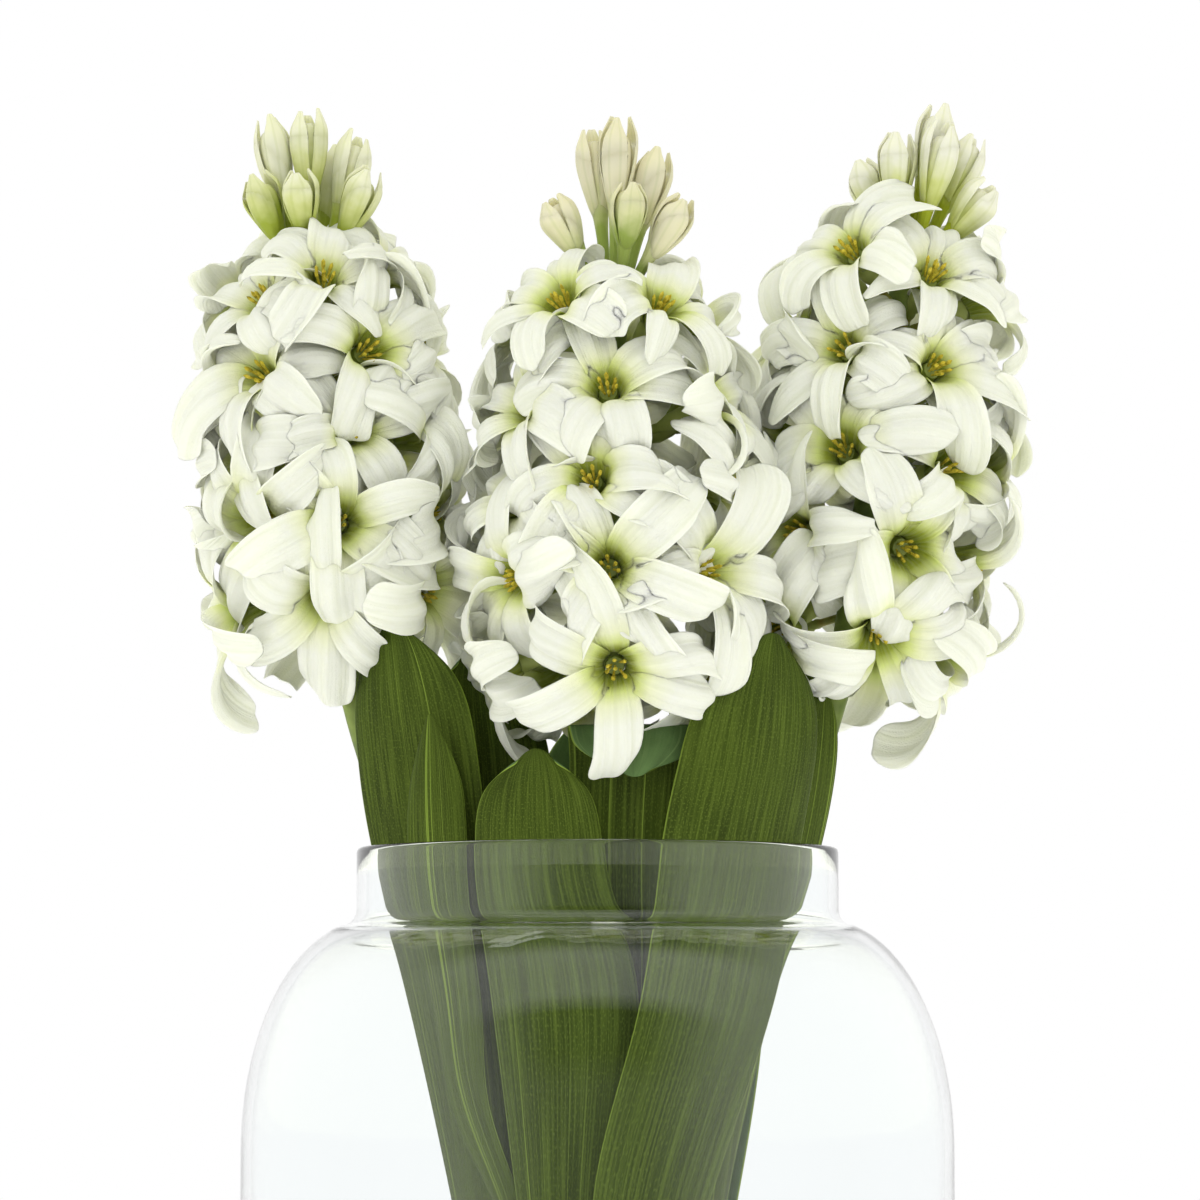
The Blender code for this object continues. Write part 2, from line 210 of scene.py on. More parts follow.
# A leaf leaves its stem at a height and bearing and runs through knots of
# (x, y, z, width) in mm and the yaw of its width in degrees.
Leaf = namedtuple("Leaf", "name plant height bearing knots")
LEAVES = (
    Leaf("leaf_left_outer", "left", 56, 195,
         ((-26.5, -1, 100, 10, -60), (-30, -5, 142, 26, -50), (-37, -11, 190, 31, -38),
          (-43, -14, 230, 35, -32), (-47, -15, 257, 35, -30), (-51, -16, 286, 30, -30))),
    Leaf("leaf_left_small", "left", 99, 262,
         ((-17.5, -9, 118, 5, -30), (-22, -18, 140, 8, -35), (-32, -23, 168, 12, -35),
          (-36, -23, 195, 15, -35), (-40, -25, 230, 17, -30), (-41, -26, 262, 14, -28))),
    Leaf("leaf_left_inner", "left", 84, -20,
         ((-8.5, 0, 110, 8, 5), (-12, -3, 142, 20, -15), (-20, -4, 190, 28, -12),
          (-26, -5, 230, 33, -10), (-28, -4, 255, 31, -8), (-31, -3, 280, 24, -8))),
    Leaf("leaf_left_rear", "left", 70, 100,
         ((-21, 16, 104, 14, 200), (-27, 20, 142, 24, 212), (-32, 27, 190, 32, 215),
          (-36, 30, 230, 32, 215), (-40, 30, 266, 22, 215))),
    Leaf("leaf_middle_front", "middle", 48, -150,
         ((-8, -16, 100, 14, -20), (-8, -26, 142, 24, -8), (-8, -33, 190, 36, -4),
          (-14, -36, 225, 32, -2), (-15, -36, 253, 28, 0))),
    Leaf("leaf_middle_folded", "middle", 84, -90,
         ((2, -13, 104, 10, 0), (6, -19, 142, 20, 5), (9, -23, 190, 28, 5),
          (9, -25, 228, 32, 3), (10, -25, 250, 34, 0), (10, -29, 259, 35, 0),
          (10, -34, 254, 32, 0), (9, -35, 246, 22, 0))),
    Leaf("leaf_middle_broad", "middle", 58, -35,
         ((9, -21, 100, 14, 20), (14, -32, 142, 30, 18), (28, -32, 190, 38, 30),
          (35, -29, 228, 43, 36), (40, -28, 252, 42, 36), (43, -26, 282, 36, 36))),
    Leaf("leaf_middle_rear", "middle", 66, 90,
         ((1, 7, 100, 11, 180), (1, 18, 142, 24, 180), (0, 33, 190, 34, 180),
          (0, 40, 230, 33, 180), (1, 42, 270, 30, 180))),
    Leaf("leaf_right_outer", "right", 58, -35,
         ((22, -1, 100, 13, 50), (28, -5, 142, 20, 50), (35, -9, 190, 24, 40),
          (46, -7, 230, 29, 35), (54, -5, 278, 26, 35))),
    Leaf("leaf_right_inner", "right", 78, 200,
         ((11, 3, 104, 9, -80), (15, 0, 142, 17, -50), (17, -1, 190, 22, -15),
          (20, 2, 230, 24, -5), (22, 2, 264, 18, -5))),
    Leaf("leaf_right_rear", "right", 66, 75,
         ((20, 17, 100, 14, 158), (26, 21, 142, 24, 148), (31, 28, 190, 32, 145),
          (33, 32, 230, 32, 145), (37, 33, 266, 22, 145))),
)


def through(knots, share):
    """Point of a Catmull-Rom curve through the knots, share running from 0 to 1."""
    span = share * (len(knots) - 1)
    index = min(int(span), len(knots) - 2)
    u = span - index
    before = knots[max(index - 1, 0)]
    after = knots[min(index + 2, len(knots) - 1)]
    point = []
    for a, b, c, d in zip(before, knots[index], knots[index + 1], after):
        point.append(0.5 * (2 * b + (c - a) * u + (2 * a - 5 * b + 4 * c - d) * u ** 2
                            + (3 * b - a - 3 * c + d) * u ** 3))
    return point


def on_spike(plant, height):
    """Point of a stem's straight upper part, in mm."""
    x, y, z = plant.knots[-1]
    return Vector((x + plant.lean * (height - z), y, height))


def stem_at(plant, height):
    """Point of a stem's lower, bent part, in mm."""
    low, high = 0.0, 1.0
    for _ in range(30):
        middle = (low + high) / 2
        if through(plant.knots, middle)[2] < height:
            low = middle
        else:
            high = middle
    return Vector(through(plant.knots, low))


def spike_frame(plant, height):
    """Matrix that stands Z along the spike, in mm."""
    turn = Vector((plant.lean, 0, 1)).to_track_quat("Z", "Y").to_matrix().to_4x4()
    return Matrix.Translation(on_spike(plant, height)) @ turn


# ---------------------------------------------------------------- mesh helpers

def new_mesh():
    """Empty bmesh with a UV map for patterns and one for each shape's own tone."""
    mesh = bmesh.new()
    mesh.loops.layers.uv.new("pattern")
    mesh.loops.layers.uv.new("tone")
    return mesh


def add_sheet(mesh, columns, rows, place, tone=(0.5, 0.5)):
    """Grid of cloth, moved point by point: place takes (-1 to 1 across, 0 to 1 along)."""
    made = bmesh.ops.create_grid(mesh, x_segments=columns, y_segments=rows, size=0.5, calc_uvs=True)
    layer = mesh.loops.layers.uv["tone"]
    for vertex in made["verts"]:
        vertex.co = place(vertex.co.x * 2, vertex.co.y + 0.5)
        for loop in vertex.link_loops:
            loop[layer].uv = tone


def add_turned(mesh, profile, sides, place, tone=(0.5, 0.5)):
    """Spin (radius, height) points round Z, run the pattern's V along the height and place it."""
    points = [mesh.verts.new((radius, 0, height)) for radius, height in profile]
    edges = [mesh.edges.new(pair) for pair in zip(points, points[1:])]
    before = set(mesh.faces)
    bmesh.ops.spin(mesh, geom=points + edges, cent=(0, 0, 0), axis=(0, 0, 1), dvec=(0, 0, 0),
                   angle=math.tau, steps=sides, use_merge=True)
    faces = [face for face in mesh.faces if face not in before]
    verts = list({vertex for face in faces for vertex in face.verts})
    poles = [vertex for vertex in verts if math.hypot(vertex.co.x, vertex.co.y) < 1e-9]
    bmesh.ops.remove_doubles(mesh, verts=poles, dist=1e-7)
    faces = [face for face in mesh.faces if face not in before]
    bmesh.ops.recalc_face_normals(mesh, faces=faces)
    low = profile[0][1]
    height = max(point[1] for point in profile) - low
    pattern = mesh.loops.layers.uv["pattern"]
    shade = mesh.loops.layers.uv["tone"]
    verts = {vertex for face in faces for vertex in face.verts}
    for vertex in verts:
        turn = math.atan2(vertex.co.y, vertex.co.x) / math.tau + 0.5
        along = (vertex.co.z - low) / height
        for loop in vertex.link_loops:
            loop[pattern].uv = (turn, along)
            loop[shade].uv = tone
    bmesh.ops.transform(mesh, matrix=place, verts=list(verts))


def finish_piece(name, mesh, materials, replaced, sharp=60, cloth=0.0, back=0, levels=1):
    """Make the object in metres, give it its cloth thickness, hang it on the root body and hide the
    frame's parts that it replaces.
    """
    bmesh.ops.scale(mesh, vec=(MM, MM, MM), verts=mesh.verts)
    data = bpy.data.meshes.new(name)
    mesh.to_mesh(data)
    mesh.free()
    data.shade_smooth()
    data.set_sharp_from_angle(angle=math.radians(sharp))
    for material in materials:
        data.materials.append(material)
    piece = bpy.data.objects.new(name, data)
    bpy.context.scene.collection.objects.link(piece)
    if cloth:
        wall = piece.modifiers.new("cloth", "SOLIDIFY")
        wall.thickness = cloth
        wall.offset = 0
        wall.material_offset = back
    if levels:
        rounding = piece.modifiers.new("rounding", "SUBSURF")
        rounding.levels = levels
        rounding.render_levels = levels
    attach(piece, "root")
    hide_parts(*replaced)
    return piece


# ---------------------------------------------------------------- materials

def add(tree, kind, inputs=None, stops=None, **settings):
    """Add a shader node with its settings, inputs and ramp stops.

    An input is a value, a socket to link, or a node whose first output is linked.
    """
    node = tree.nodes.new("ShaderNode" + kind)
    for key, value in settings.items():
        setattr(node, key, value)
    for socket, value in (inputs or {}).items():
        if isinstance(value, bpy.types.Node):
            value = value.outputs[0]
        if isinstance(value, bpy.types.NodeSocket):
            tree.links.new(value, node.inputs[socket])
        else:
            node.inputs[socket].default_value = value
    if stops:
        ramp = node.color_ramp
        while len(ramp.elements) < len(stops):
            ramp.elements.new(1.0)
        for element, (position, colour) in zip(ramp.elements, stops):
            element.position = position
            element.color = (*colour, 1.0)
    return node


def new_material(name, **constants):
    """Material with one Principled shader; constants are its plain input values."""
    material = bpy.data.materials.new(name)
    material.use_nodes = True
    tree = material.node_tree
    shader = tree.nodes["Principled BSDF"]
    for key, value in constants.items():
        shader.inputs[key.replace("_", " ")].default_value = value
    return material, tree, shader


def grey(value):
    """Linear grey."""
    return (value, value, value)


def petal_cloth(settings):
    """Pressed polyester satin: matt soft white with a dyed throat, fine thread, and grey-green shade
    painted along its flutes and channels.
    """
    material, tree, shader = new_material(
        "pressed_polyester_petal", Roughness=0.62, Subsurface_Weight=0.85, Subsurface_Scale=0.6 * MM,
        Subsurface_Radius=(1.0, 1.0, 0.88), Sheen_Weight=0.08, Sheen_Roughness=0.5,
        Specular_IOR_Level=0.2)
    where = add(tree, "UVMap", uv_map="pattern").outputs[0]
    axes = add(tree, "SeparateXYZ", {0: where})
    own = add(tree, "UVMap", uv_map="tone").outputs[0]
    tone = add(tree, "SeparateXYZ", {0: own})
    # each floret takes the dye a little further up its petals than the next
    reach = add(tree, "Math", {0: tone, 1: 0.11}, operation="MULTIPLY")
    along = add(tree, "Math", {0: axes.outputs[1], 1: reach}, operation="SUBTRACT")
    white, cream, throat = tuple(settings.white), tuple(settings.cream), tuple(settings.throat)
    dye = add(tree, "ValToRGB", {0: along}, stops=(
        (0.0, throat), (0.09, linear("9BA640")), (0.16, linear("D3DD93")), (0.24, cream), (0.38, white),
        (1.0, white)))
    # flutes pressed along the petal, about 1.5 mm apart, with grey-green shade painted in streaks along
    # them
    apart = add(tree, "VectorMath", {0: own, 1: (40, 40, 0)}, operation="MULTIPLY")
    spot = add(tree, "VectorMath", {0: where, 1: apart}, operation="ADD")
    drawn = add(tree, "Mapping", {"Vector": spot, "Scale": (9, 0.9, 1)})
    flutes = add(tree, "TexNoise", {"Vector": drawn, "Scale": 1.0, "Detail": 2.0})
    painted_flute_shade = add(tree, "MapRange", {0: flutes, 1: 0.5, 2: 0.72, 3: 0.0, 4: 0.16})
    # three channels run from the throat to the tip, soft and a little off the middle, with grey-green
    # shade painted in their grooves
    drift = add(tree, "Math", {0: tone.outputs[1], 1: 0.2}, operation="MULTIPLY")
    wander = add(tree, "Math", {0: flutes, 1: 0.16, 2: drift}, operation="MULTIPLY_ADD")
    cross = add(tree, "Math", {0: axes, 1: wander}, operation="ADD")
    turns = add(tree, "Math", {0: cross, 1: 3.1 * math.tau}, operation="MULTIPLY")
    ridge = add(tree, "Math", {0: turns}, operation="COSINE")
    channel = add(tree, "MapRange", {0: ridge, 1: 0.2, 2: 1.0, 3: 0.0, 4: 0.13})
    # painted shade: the flutes and channels darken the dye towards grey-green
    painted_crease_shade = add(tree, "Math", {0: painted_flute_shade, 1: channel}, operation="ADD")
    shade = add(tree, "Mix", {0: painted_crease_shade, 6: dye, 7: (*linear("C9CDB2"), 1.0)},
                data_type="RGBA")
    tree.links.new(shade.outputs[2], shader.inputs["Base Color"])
    # satin thread is 0.12 mm apart; it is drawn at 0.5 mm so that it can show
    point = add(tree, "TexCoord").outputs["Object"]
    thread = add(tree, "TexNoise", {"Vector": point, "Scale": 1 / (0.5 * MM), "Detail": 2.0})
    fine = add(tree, "Math", {0: thread, 1: 0.2}, operation="MULTIPLY")
    relief = add(tree, "Math", {0: fine, 1: flutes}, operation="ADD")
    deep = add(tree, "Math", {0: ridge, 1: -0.1}, operation="MULTIPLY")
    relief = add(tree, "Math", {0: relief, 1: deep}, operation="ADD")
    bump = add(tree, "Bump", {"Height": relief, "Strength": 0.6, "Distance": 1.2 * MM})
    tree.links.new(bump.outputs[0], shader.inputs["Normal"])
    return material


def tube_plastic():
    """Moulded polyethylene of a floret's back: waxy olive stalk, brown joint, pale swelling."""
    material, tree, shader = new_material(
        "moulded_floret_tube", Roughness=0.48, Subsurface_Weight=0.2, Subsurface_Scale=1 * MM,
        Subsurface_Radius=(1.0, 1.0, 0.5))
    where = add(tree, "UVMap", uv_map="pattern").outputs[0]
    axes = add(tree, "SeparateXYZ", {0: where})
    run = add(tree, "ValToRGB", {0: axes.outputs[1]}, stops=(
        (0.0, linear("84902F")), (0.3, linear("998A3C")), (0.38, linear("94A243")),
        (0.72, linear("BAC474")), (0.93, linear("86943A")), (1.0, linear("5C6A18"))))
    spot = add(tree, "TexCoord").outputs["Object"]
    mottle = add(tree, "TexNoise", {"Vector": spot, "Scale": 1 / (2.5 * MM), "Detail": 3.0})
    fade = add(tree, "MapRange", {0: mottle, 1: 0.35, 2: 0.75, 3: 0.0, 4: 0.35})
    shade = add(tree, "Mix", {0: fade, 6: run, 7: (*linear("BFC97A"), 1.0)},
                data_type="RGBA")
    tree.links.new(shade.outputs[2], shader.inputs["Base Color"])
    return material


def stamen_plastic():
    """Flocked golden stamens: matt yellow that darkens in patches."""
    material, tree, shader = new_material("flocked_golden_stamen", Roughness=0.85)
    spot = add(tree, "TexCoord").outputs["Object"]
    mottle = add(tree, "TexNoise", {"Vector": spot, "Scale": 1 / (1.2 * MM), "Detail": 2.0})
    shade = add(tree, "ValToRGB", {0: mottle}, stops=(
        (0.3, linear("8E8420")), (0.55, linear("CDB93A")), (0.75, linear("E6D25C"))))
    tree.links.new(shade.outputs[0], shader.inputs["Base Color"])
    return material


def bud_plastic(plant):
    """Moulded polyethylene bud, airbrushed green at the foot and cream at the tip."""
    material, tree, shader = new_material(
        "airbrushed_bud_" + plant.name, Roughness=0.5, Subsurface_Weight=0.3, Subsurface_Scale=1.5 * MM,
        Subsurface_Radius=(1.0, 1.0, 0.6), Specular_IOR_Level=0.35)
    green, middle, cream = [linear(code) for code in plant.colours]
    where = add(tree, "UVMap", uv_map="pattern").outputs[0]
    axes = add(tree, "SeparateXYZ", {0: where})
    tone = add(tree, "SeparateXYZ", {0: add(tree, "UVMap", uv_map="tone").outputs[0]})
    spot = add(tree, "TexCoord").outputs["Object"]
    cloud = add(tree, "TexNoise", {"Vector": spot, "Scale": 1 / (4 * MM), "Detail": 2.0})
    soft = add(tree, "Math", {0: cloud, 1: 0.25}, operation="MULTIPLY")
    lift = add(tree, "Math", {0: axes.outputs[1], 1: soft}, operation="ADD")
    own = add(tree, "Math", {0: lift, 1: tone}, operation="SUBTRACT")
    run = add(tree, "ValToRGB", {0: own}, stops=(
        (0.0, linear("94A552")), (0.35, green), (0.55, green), (0.78, middle), (1.0, cream)))
    lines = add(tree, "Math", {0: axes, 1: 9 * math.tau}, operation="MULTIPLY")
    waves = add(tree, "Math", {0: lines}, operation="COSINE")
    thin = add(tree, "MapRange", {0: waves, 1: 0.5, 2: 1.0, 3: 0.0, 4: 0.16})
    shade = add(tree, "Mix", {0: thin, 6: run, 7: (*green, 1.0)},
                data_type="RGBA")
    tree.links.new(shade.outputs[2], shader.inputs["Base Color"])
    bump = add(tree, "Bump", {"Height": waves, "Strength": 0.3, "Distance": 0.15 * MM})
    tree.links.new(bump.outputs[0], shader.inputs["Normal"])
    return material


def leaf_cloth(name, ground, vein, contrast):
    """Printed polyester leaf: satin green ground, fine streaks, a few long pale veins, pale cut edge."""
    material, tree, shader = new_material(name, Roughness=0.62, Specular_IOR_Level=0.12)
    where = add(tree, "UVMap", uv_map="pattern").outputs[0]
    tone = add(tree, "UVMap", uv_map="tone").outputs[0]
    spot = add(tree, "VectorMath", {0: where, 1: tone}, operation="ADD").outputs[0]

    def print_noise(across, along, detail):
        """Noise drawn out along the leaf; the leaf is about 35 mm wide and 200 mm long."""
        stretched = add(tree, "Mapping", {"Vector": spot, "Scale": (across, along, 1)})
        return add(tree, "TexNoise", {"Vector": stretched, "Scale": 1.0,
                                                "Detail": detail}).outputs[0]

    streaks = print_noise(60, 6, 2.0)
    veins = print_noise(34, 0.35, 0.0)
    patches = print_noise(5, 4, 2.0)
    threads = print_noise(110, 260, 0.0)
    dark = tuple(channel * 0.6 for channel in ground)
    colour = add(tree, "ValToRGB", {0: patches}, stops=((0.3, dark), (0.65, ground))).outputs[0]
    # thin veins stand out where the slow noise peaks
    lines = add(tree, "MapRange", {0: veins, 1: 0.72, 2: 0.76, 3: 0.0, 4: contrast})
    soft = add(tree, "MapRange", {0: streaks, 1: 0.42, 2: 0.75, 3: 0.0, 4: 0.4 * contrast})
    specks = add(tree, "MapRange", {0: threads, 1: 0.55, 2: 0.8, 3: 0.0, 4: 0.3 * contrast})
    middle = add(tree, "SeparateXYZ", {0: where})
    off = add(tree, "Math", {0: middle, 1: 0.5}, operation="SUBTRACT")
    away = add(tree, "Math", {0: off}, operation="ABSOLUTE")
    rim = add(tree, "MapRange", {0: away, 1: 0.486, 2: 0.497, 3: 0.0, 4: 0.85})
    for amount in (soft, specks, lines, rim):
        colour = add(tree, "Mix", {0: amount, 6: colour, 7: (*vein, 1.0)},
                     data_type="RGBA").outputs[2]
    tree.links.new(colour, shader.inputs["Base Color"])
    relief = add(tree, "Math", {0: streaks, 1: threads}, operation="ADD")
    bump = add(tree, "Bump", {"Height": relief, "Strength": 0.45, "Distance": 0.25 * MM})
    tree.links.new(bump.outputs[0], shader.inputs["Normal"])
    return material


def stem_plastic():
    """Moulded polyethylene over wire: satin green with a slight mottle."""
    material, tree, shader = new_material("moulded_green_stem", Roughness=0.5)
    spot = add(tree, "TexCoord").outputs["Object"]
    mottle = add(tree, "TexNoise", {"Vector": spot, "Scale": 1 / (6 * MM), "Detail": 3.0})
    shade = add(tree, "ValToRGB", {0: mottle}, stops=(
        (0.3, linear("55692A")), (0.7, linear("8A9C48"))))
    tree.links.new(shade.outputs[0], shader.inputs["Base Color"])
    return material


def jar_glass():
    """Blown soda-lime glass: clear, faintly cool, with slow waves in its skin."""
    material, tree, shader = new_material(
        "blown_clear_glass", Roughness=0.0, Transmission_Weight=1.0, IOR=1.5, Specular_IOR_Level=0.26)
    shader.inputs["Base Color"].default_value = (*linear("FBFDFD"), 1.0)
    spot = add(tree, "TexCoord").outputs["Object"]
    waves = add(tree, "TexNoise", {"Vector": spot, "Scale": 1 / (45 * MM), "Detail": 1.0})
    bump = add(tree, "Bump", {"Height": waves, "Strength": 0.12, "Distance": 1 * MM})
    tree.links.new(bump.outputs[0], shader.inputs["Normal"])
    return material


# ---------------------------------------------------------------- vase

NECK_RADIUS = 60
SHOULDER_CENTRE = 57
SHOULDER_RISE = 57
SHOULDER_HEIGHT = 155
HEEL_RADIUS = 12
FILLET = 4
RIM_BAND = 8                       # height of the collar's straight top below the rim


def arc(centre, radii, start, stop, steps):
    """Points on an ellipse of radii (across, up) between two angles in degrees."""
    points = []
    for step in range(steps + 1):
        angle = math.radians(start + (stop - start) * step / steps)
        points.append((centre[0] + radii[0] * math.cos(angle), centre[1] + radii[1] * math.sin(angle)))
    return points


def shoulder(radius, inset, steps):
    """Shoulder curve from the body up to where the neck's fillet starts, moved in by the wall."""
    across = radius - SHOULDER_CENTRE - inset
    stop = math.degrees(math.acos((NECK_RADIUS + FILLET - SHOULDER_CENTRE) / across))
    return arc((SHOULDER_CENTRE, SHOULDER_HEIGHT), (across, SHOULDER_RISE - inset), 0, stop, steps)


def vase_profile(settings):
    """Section of the jar from the middle of its foot, up, over the rim and down inside."""
    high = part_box("vase")[1]
    radius, height = high[0] / MM, high[2] / MM
    wall, floor = settings.wall / MM, settings.floor / MM
    bore = NECK_RADIUS - wall
    heel = radius - HEEL_RADIUS
    straight = [radius * share for share in (0.5, 1.0, 1.5)]
    outside = [(0, 0), (heel * 0.5, 0)] + arc((heel, HEEL_RADIUS), (HEEL_RADIUS, HEEL_RADIUS), -90, 0, 8)
    outside += [(radius, level) for level in straight] + shoulder(radius, 0, 22)
    crease = (NECK_RADIUS + FILLET, outside[-1][1] + FILLET)
    outside += arc(crease, (FILLET, FILLET), -90, -180, 5)[1:] + [(NECK_RADIUS, height - RIM_BAND)]
    bead = wall / 2
    rim = arc((NECK_RADIUS - bead, height - bead), (bead, bead), 0, 180, 8)
    inner_heel = HEEL_RADIUS - wall
    inner_fillet = FILLET + wall
    inside = [(bore, height - RIM_BAND)]
    inside += arc(crease, (inner_fillet, inner_fillet), -180, -90, 5)[:-1]
    inside += shoulder(radius, wall, 22)[::-1] + [(radius - wall, level) for level in straight[::-1]]
    inside += arc((heel, floor + inner_heel), (inner_heel, inner_heel), 0, -90, 8)
    return outside + rim + inside + [(heel * 0.5, floor), (0, floor)]


class HYACINTH_OT_vase(bpy.types.Operator):
    """Make the clear glass jar"""
    bl_idname = "hyacinth.vase"
    bl_label = "Glass jar"

    def execute(self, context):
        settings = context.scene.hyacinth_vase
        mesh = new_mesh()
        add_turned(mesh, vase_profile(settings), settings.sides, Matrix.Identity(4))
        jar = finish_piece("jar", mesh, [jar_glass()], ["vase"], sharp=32, levels=0)
        # thin clear glass hardly dims what it holds, so the lamps light the leaves through it
        jar.visible_shadow = jar.visible_diffuse = False
        return {"FINISHED"}


# ---------------------------------------------------------------- stems

class HYACINTH_OT_stems(bpy.types.Operator):
    """Make the three stems"""
    bl_idname = "hyacinth.stems"
    bl_label = "Stems"

    def execute(self, context):
        material = stem_plastic()
        for plant in PLANTS:
            rng = random.Random("stem " + plant.name)
            top = plant.knots[-1][2]
            route = [Vector(through(plant.knots, step / STEM_BENDS)) for step in range(STEM_BENDS)]
            route += [on_spike(plant, top + (plant.tip - top) * step / STEM_RISES)
                      for step in range(STEM_RISES + 1)]
            mesh = new_mesh()
            ring = bmesh.ops.create_circle(mesh, cap_ends=True, radius=1, segments=STEM_SIDES)
            face = ring["verts"][0].link_faces[0]
            foot = list(ring["verts"])
            flat = [vertex.co.copy() for vertex in face.verts]
            for index, point in enumerate(route):
                if index:
                    face = bmesh.ops.extrude_discrete_faces(mesh, faces=[face])["faces"][0]
                ahead = route[min(index + 1, len(route) - 1)] - route[max(index - 1, 0)]
                turn = ahead.to_track_quat("Z", "Y").to_matrix()
                taper = smooth((point.z - plant.tip + STEM_TAPER) / STEM_TAPER)
                radius = STEM_RADIUS + (STEM_TIP_RADIUS - STEM_RADIUS) * taper + rng.uniform(-0.08, 0.08)
                for vertex, start in zip(face.verts, flat):
                    vertex.co = point + turn @ (start * radius)
            bmesh.ops.contextual_create(mesh, geom=foot)
            bmesh.ops.recalc_face_normals(mesh, faces=mesh.faces)
            name = "stem_" + plant.name
            finish_piece(name + "_moulded", mesh, [material], [name], levels=0)
        return {"FINISHED"}


# ---------------------------------------------------------------- florets

# How a petal is bent: curl is the angle its tip reaches from the floret's axis,
# lift how much of that is left out of the first bend, sweep a bow to one side,
# twist a turn about its length, roll how far its edges fall away from the middle,
# point how far the middle of its tip stands out, slant how far the tip is cut askew
# and flute where its ridges start.
Petal = namedtuple("Petal", "length width curl lift sweep twist roll point slant flute")
SPINE_STEPS = 24
FUNNEL_ANGLE = 12
PETAL_COLUMNS = 8
PETAL_ROWS = 7
PETAL_FOOT = 2.5                   # radius at which a petal starts
PETAL_DEPTH = 8.5                  # how far below the mouth it starts
STAMENS = 7                        # six round one in the middle
STAMEN_DEPTH = 5


def petal_spine(petal, start):
    """(radius, height, slope) down the middle of a petal, in a plane through the axis."""
    radius, height = start
    step = petal.length / SPINE_STEPS
    level = 88 - petal.lift
    points = []
    for index in range(SPINE_STEPS + 1):
        share = index / SPINE_STEPS
        slope = FUNNEL_ANGLE + (level - FUNNEL_ANGLE) * smooth((share - 0.05) / 0.38)
        slope += (petal.curl - level) * max(0.0, (share - 0.32) / 0.68) ** 1.1
        slope = math.radians(slope)
        points.append((radius, height, slope))
        radius += math.sin(slope) * step
        height += math.cos(slope) * step
    return points


def petal_outline(share):
    """Half width of a petal as a share of its widest half: a tongue with a narrow foot."""
    return (0.4 + 0.6 * smooth(share / 0.44)) * (1 - 0.14 * smooth((share - 0.8) / 0.2))


def add_petal(mesh, petal, start, place, crease, tone):
    """One petal of the star, fluted along its length."""
    spine = petal_spine(petal, start)

    def bend(side, along):
        along = 1 - (1 - along) ** 1.2
        tip = smooth((along - 0.6) / 0.4)
        ragged = noise.noise(Vector((side * 1.9, petal.flute, petal.curl))) * 0.05
        reach = along - (0.04 * side ** 2 + 0.1 * side ** 4 + petal.slant * side
                         - petal.point * (1 - abs(side)) - ragged) * tip
        span = min(max(reach, 0.0), 1.0) * SPINE_STEPS
        index = min(int(span), SPINE_STEPS - 1)
        mix = span - index
        radius, height, slope = [
            a + (b - a) * mix for a, b in zip(spine[index], spine[index + 1])]
        half = petal.width / 2 * petal_outline(along)
        across = half * side
        out = smooth((along - 0.1) / 0.35)
        cup = 0.5 * half * side ** 2 * (1 - out)
        flute = math.cos(side * 5.6 + petal.flute) * out * (1 - 0.5 * tip)
        rise = cup - petal.roll * half * side ** 2 * out + crease * flute
        rise += noise.noise(Vector((side * 0.8, along * 2.4, petal.flute * 9))) * 1.3 * out
        turn = petal.twist * along ** 2
        across, rise = (across * math.cos(turn) - rise * math.sin(turn),
                        across * math.sin(turn) + rise * math.cos(turn))
        across += petal.sweep * petal.length * along ** 2
        return place @ Vector((radius - math.cos(slope) * rise, across, height + math.sin(slope) * rise))

    add_sheet(mesh, PETAL_COLUMNS, PETAL_ROWS, bend, tone)


def add_floret_petals(mesh, place, mouth, size, tier, settings, rng):
    """Six petals round one floret's throat."""
    crease = settings.crease / MM
    top = tier / (len(TIERS) - 1)
    length = (settings.petal_low + (settings.petal_top - settings.petal_low) * top) / MM * size
    width = settings.petal_width / MM * (1.03 - 0.1 * top) * size
    tone = (rng.random(), rng.random())
    first = rng.uniform(0, 60)
    tightness = rng.uniform(-12, 16)
    for number in range(6):
        outer = number % 2
        curl = min(204 - 8 * top + tightness + rng.uniform(-52, 42), 238 - 14 * top)
        petal = Petal(
            length=length * rng.uniform(0.88, 1.1) + outer,
            width=width * rng.uniform(0.82, 1.2),
            curl=curl,
            lift=rng.uniform(0, 44),
            sweep=rng.uniform(-0.28, 0.28),
            twist=rng.uniform(-1.1, 1.1),
            roll=rng.uniform(-0.15, 0.5),
            point=rng.uniform(-0.06, 0.03),
            slant=rng.uniform(-0.06, 0.06),
            flute=rng.uniform(-1.4, 1.4),
        )
        turn = Matrix.Rotation(math.radians(first + 60 * number + rng.uniform(-13, 13)), 4, "Z")
        start = (PETAL_FOOT + 0.35 * outer, mouth - PETAL_DEPTH - 0.3 * outer)
        add_petal(mesh, petal, start, place @ turn, crease, tone)


